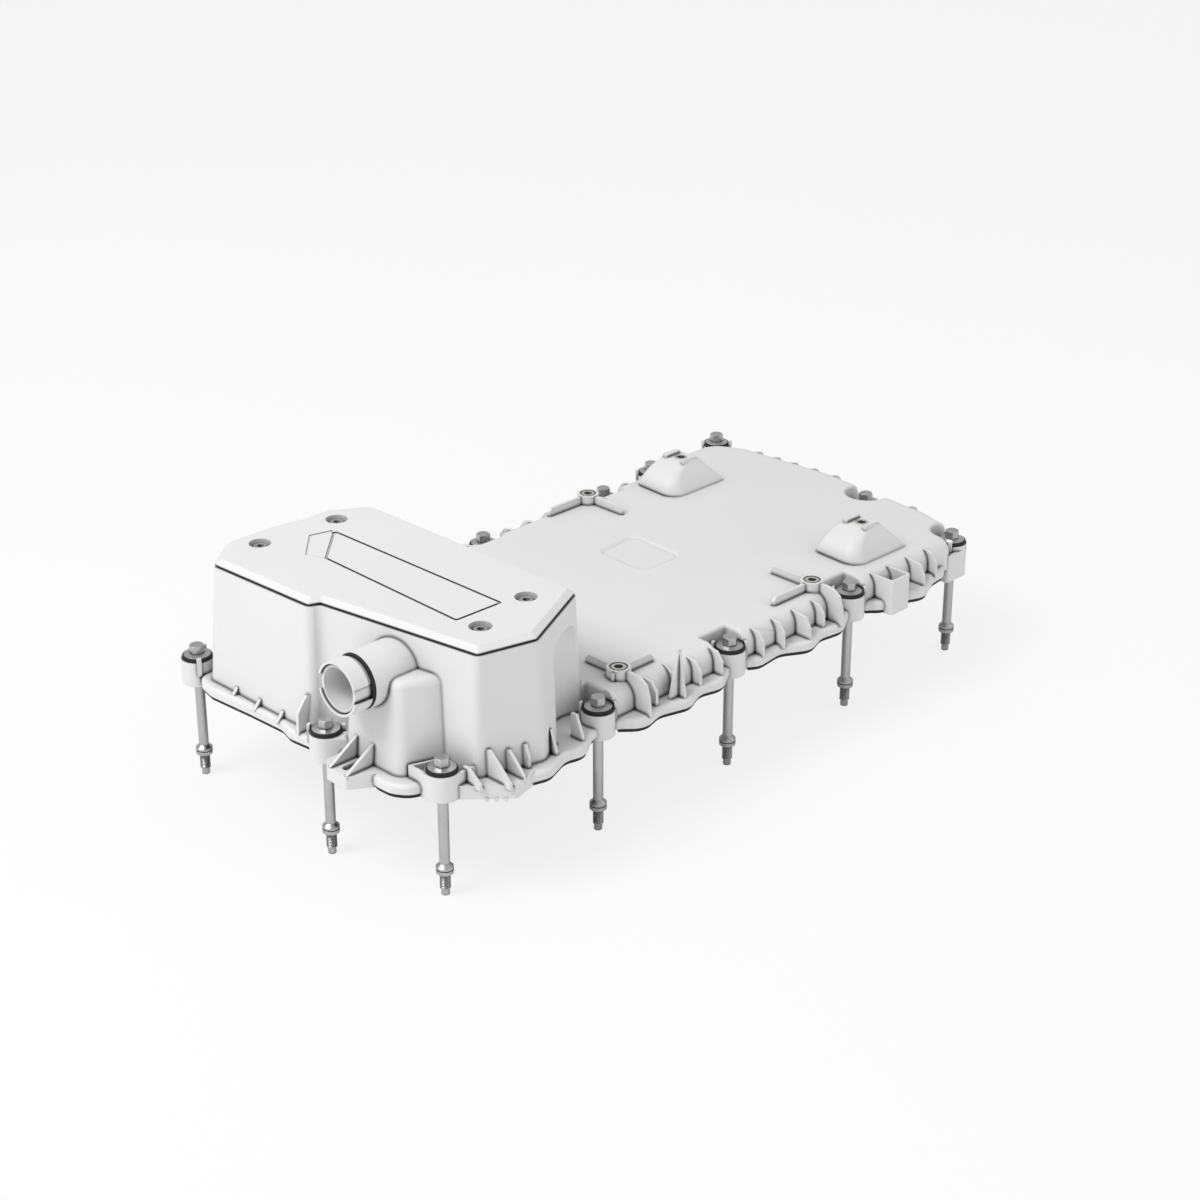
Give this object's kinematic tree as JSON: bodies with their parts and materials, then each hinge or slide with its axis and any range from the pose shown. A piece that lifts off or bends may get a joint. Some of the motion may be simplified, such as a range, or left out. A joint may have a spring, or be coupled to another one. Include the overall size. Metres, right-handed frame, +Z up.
{
  "type": "engine valve cover",
  "caption": "Moulded valve cover with a low dome over the valve gear, a tall breather housing with a screwed lid, an outlet port and captive isolated flange bolts.",
  "frame": {"origin": "on the axis of the near middle bolt, in the joint plane that the gasket's foot rests on", "axes": "+Z up out of the cylinder head, +X along the row of near bolts away from the breather housing, +Y across the cover"},
  "size_m": [0.6408, 0.332, 0.1865],
  "materials": {
    "cover_plastic": "fine moulded grain, pale grey",
    "tray_plastic": "moulded, black",
    "black_rubber": "moulded, matt",
    "zinc_steel": "zinc plated",
    "spring_steel": "drawn wire",
    "brass_insert": "turned",
    "filter_fleece": "wound fleece"
  },
  "bodies": {
    "root": {"cover_shell": "cover_plastic", "breather_lid": "cover_plastic", "lid_seal": "black_rubber", "lid_screws": "zinc_steel", "lid_inserts": "brass_insert", "boss_inserts": "brass_insert", "bracket_inserts": "brass_insert", "cover_gasket": "black_rubber", "cover_bolts": "zinc_steel", "bolt_grommets": "black_rubber", "bolt_limiters": "zinc_steel", "port_seal": "black_rubber", "separator_tray": "tray_plastic", "tray_seal": "black_rubber", "tray_screws": "zinc_steel", "filter_bottom_cap": "tray_plastic", "filter_neck_seal": "black_rubber", "filter_media": "filter_fleece", "filter_core": "tray_plastic", "filter_top_cap": "tray_plastic", "regulator_carrier": "tray_plastic", "regulator_plate": "tray_plastic", "regulator_diaphragm": "black_rubber", "regulator_spring": "spring_steel", "regulator_cap": "tray_plastic", "drain_valve": "black_rubber"}
  },
  "joints": []
}
